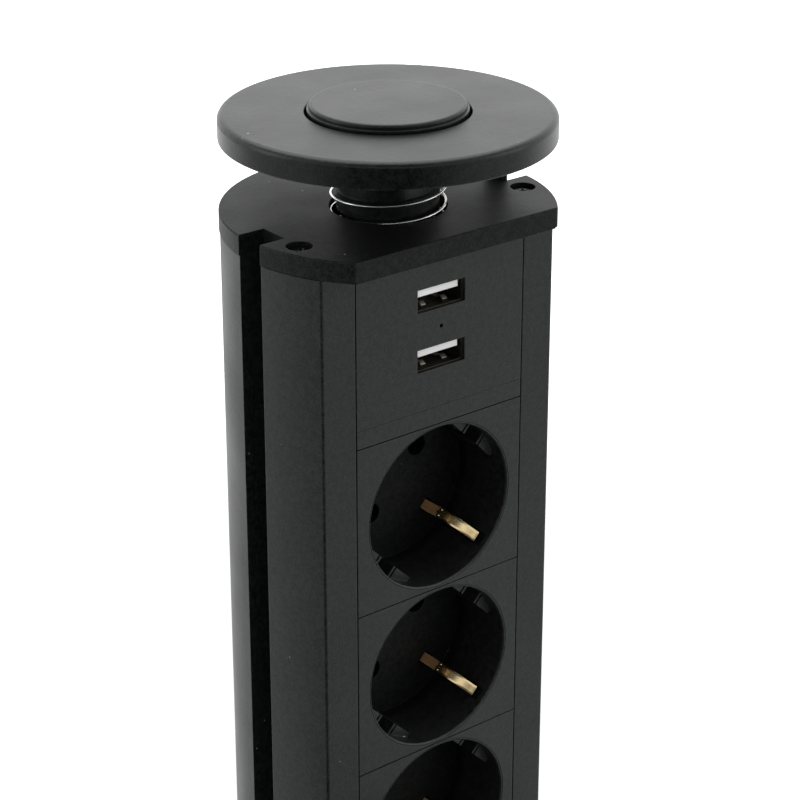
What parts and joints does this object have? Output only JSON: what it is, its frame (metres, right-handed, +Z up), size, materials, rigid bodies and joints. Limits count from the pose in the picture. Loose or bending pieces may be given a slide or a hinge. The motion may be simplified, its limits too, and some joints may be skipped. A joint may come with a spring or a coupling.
{
  "type": "pop-up power tower",
  "caption": "Desk power tower that slides up out of a round collar, with turned earthed sockets, USB-A mouths and a sprung lid with a push button.",
  "frame": {"origin": "on the tower's axis at the desk top, under the flange's gasket", "axes": "+Z up along the tower's axis, -Y out of the sockets, +X to the right seen from the sockets' side"},
  "size_m": [0.096, 0.096, 0.2704],
  "materials": {
    "housing": "black anodised, fine matt",
    "cap": "fine matt black",
    "module": "fine matt black",
    "lid": "fine matt black",
    "shaft": "satin black",
    "collar": "fine matt black",
    "spring_steel": "bare drawn wire",
    "shell_steel": "tinned sheet",
    "screw_steel": "blackened",
    "plain_steel": "plain turned",
    "brass": "bright sheet",
    "white_plastic": "satin white",
    "inner_plastic": "plain moulded",
    "board": "lacquered board",
    "light_pipe": "clear moulded",
    "gasket": "soft matt"
  },
  "bodies": {
    "collar": {"collar": "collar", "flange_gasket": "gasket", "wiper_ring": "gasket", "brake_plunger": "plain_steel"},
    "clamp": {"clamp_ring": "collar"},
    "tower": {"housing": "housing", "top_cap": "cap", "cap_screws": "screw_steel", "usb_plate": "module", "usb_shells": "shell_steel", "usb_tongues": "white_plastic", "usb_contacts": "brass", "usb_light_pipe": "light_pipe", "usb_board": "board", "board_screws": "plain_steel", "usb_components": "inner_plastic", "spacer_strip": "module", "socket_upper": "module", "socket_middle": "module", "socket_lower": "module", "earth_clips": "brass", "contact_sleeves": "brass", "line_bar": "brass", "neutral_bar": "brass", "earth_bar": "brass", "terminal_block": "inner_plastic", "blank_cover": "module", "bottom_cap": "cap", "bottom_screws": "screw_steel", "cable_gland": "collar", "gland_nut": "collar", "gland_dome": "collar", "lid_spring": "spring_steel"},
    "lid": {"lid": "lid", "lid_screws": "screw_steel", "lid_shaft": "shaft", "guide_rod": "plain_steel", "rod_clip": "plain_steel", "guide_strip": "cap", "strip_screw": "screw_steel", "button_spring": "spring_steel"},
    "button": {"button": "lid", "button_clip": "plain_steel"}
  },
  "joints": [
    {"name": "tower_slide", "type": "slide", "parent": "collar", "child": "tower", "axis": [0, 0, 1], "range_m": [-0.1965, 0]},
    {"name": "lid_slide", "type": "slide", "parent": "tower", "child": "lid", "axis": [0, 0, 1], "range_m": [-0.0115, 0], "stiffness_N_per_m": 500, "springref_m": 0.008, "deforming": ["lid_spring"]},
    {"name": "button_slide", "type": "slide", "parent": "lid", "child": "button", "axis": [0, 0, 1], "range_m": [-0.002, 0], "stiffness_N_per_m": 1000, "springref_m": 0.002, "deforming": ["button_spring"]},
    {"name": "clamp_slide", "type": "slide", "parent": "collar", "child": "clamp", "axis": [0, 0, 1], "range_m": [-0.01, 0.018]}
  ]
}
